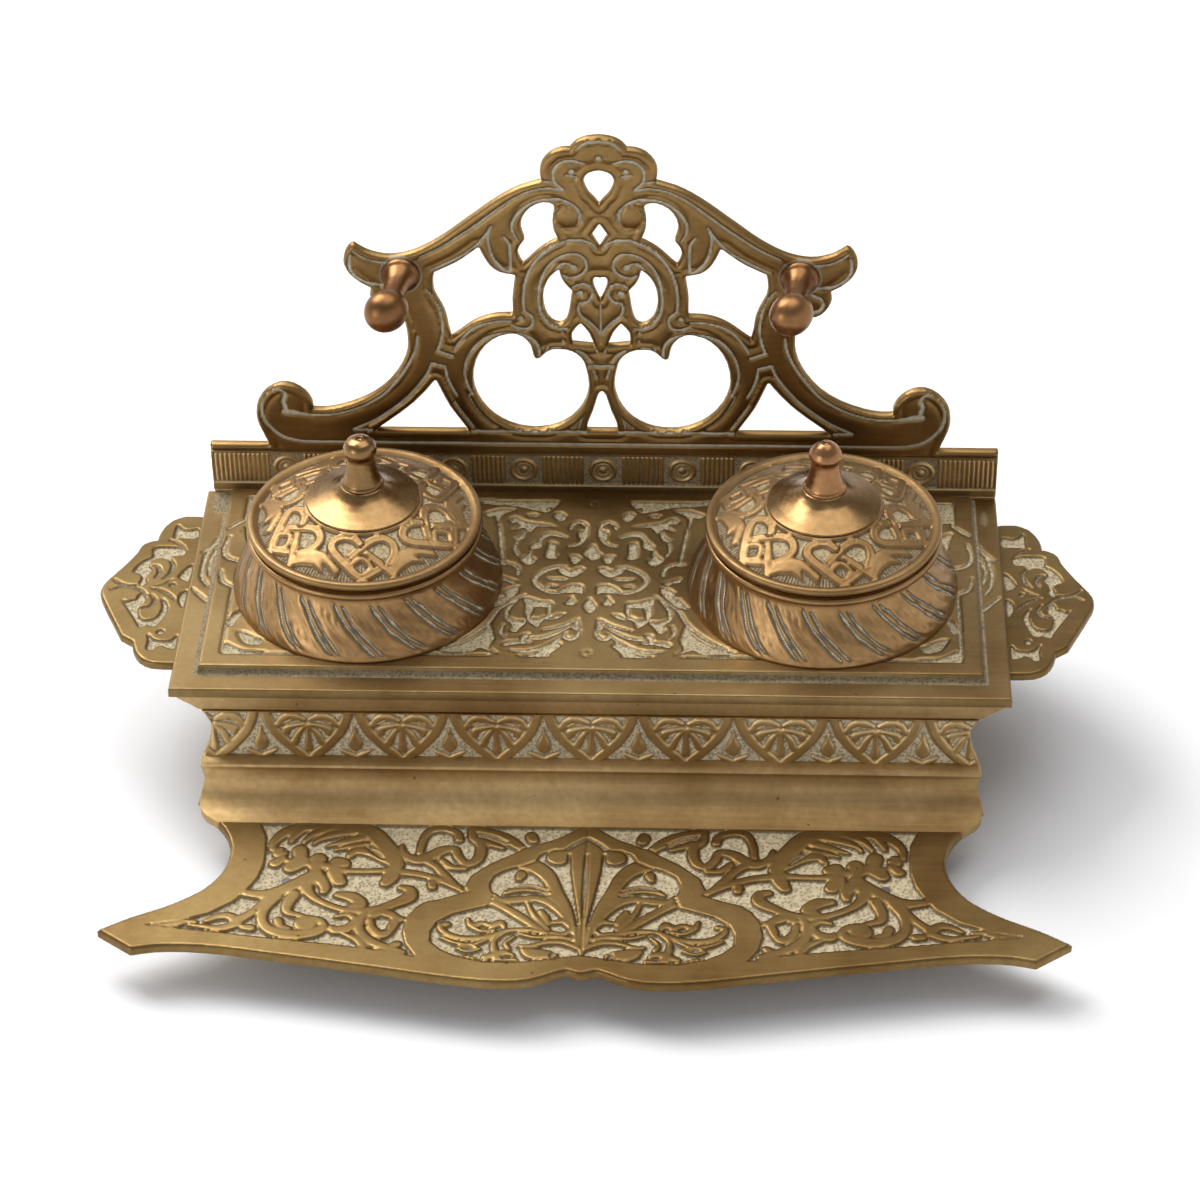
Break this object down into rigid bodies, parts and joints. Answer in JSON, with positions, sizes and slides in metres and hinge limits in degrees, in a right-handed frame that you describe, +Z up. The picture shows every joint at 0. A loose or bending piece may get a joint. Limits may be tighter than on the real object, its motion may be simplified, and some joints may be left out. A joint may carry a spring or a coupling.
{
  "type": "inkstand",
  "caption": "Cast brass desk inkstand with a pierced scroll gallery, round lidded ink wells, lobed side handles and a pen trough over a wide scalloped apron.",
  "frame": {"origin": "middle of the bounding box at the feet's underside, which stands on the desk", "axes": "+X to the user's right along the longest side, -Y towards the user, +Z up"},
  "size_m": [0.33, 0.2026, 0.201],
  "materials": {
    "aged_brass": "satin cast brass, worn bright on the raised parts, grey-green patina in the recesses",
    "dark_brass": "darker satin cast brass with pale patina in the grooves",
    "turned_brass": "turned and polished brass with fine lathe marks",
    "coppery_brass": "polished brass with a coppery tone",
    "steel": "dull steel screws and nuts",
    "glass": "clear pressed glass"
  },
  "bodies": {
    "base": {"platform_plate": "aged_brass", "front_casting": "aged_brass", "back_plate": "dark_brass", "gallery": "dark_brass", "side_plate_left": "dark_brass", "handle_left": "aged_brass", "peg_left": "turned_brass", "peg_nut_left": "steel", "well_left": "aged_brass", "liner_left": "glass", "well_screw_left": "steel", "front_screw_left": "steel", "back_screw_left": "steel", "side_screw_left": "steel", "handle_screw_left_front": "steel", "foot_left_front": "aged_brass", "foot_screw_left_front": "steel", "handle_screw_left_back": "steel", "foot_left_back": "aged_brass", "foot_screw_left_back": "steel", "gallery_screw_left_inner": "steel", "gallery_screw_left_outer": "steel", "side_plate_right": "dark_brass", "handle_right": "aged_brass", "peg_right": "turned_brass", "peg_nut_right": "steel", "well_right": "aged_brass", "liner_right": "glass", "well_screw_right": "steel", "front_screw_right": "steel", "back_screw_right": "steel", "side_screw_right": "steel", "handle_screw_right_front": "steel", "foot_right_front": "aged_brass", "foot_screw_right_front": "steel", "handle_screw_right_back": "steel", "foot_right_back": "aged_brass", "foot_screw_right_back": "steel", "gallery_screw_right_inner": "steel", "gallery_screw_right_outer": "steel"},
    "lid_left": {"lid_left": "aged_brass", "finial_cone_left": "turned_brass", "finial_knob_left": "turned_brass", "finial_screw_left": "steel"},
    "lid_right": {"lid_right": "aged_brass", "finial_cone_right": "turned_brass", "finial_knob_right": "coppery_brass", "finial_screw_right": "steel"}
  },
  "joints": [
    {"name": "lid_left_lift", "type": "slide", "parent": "base", "child": "lid_left", "axis": [0, 0, 1], "range_m": [0, 0.045]},
    {"name": "lid_right_lift", "type": "slide", "parent": "base", "child": "lid_right", "axis": [0, 0, 1], "range_m": [0, 0.045]}
  ]
}
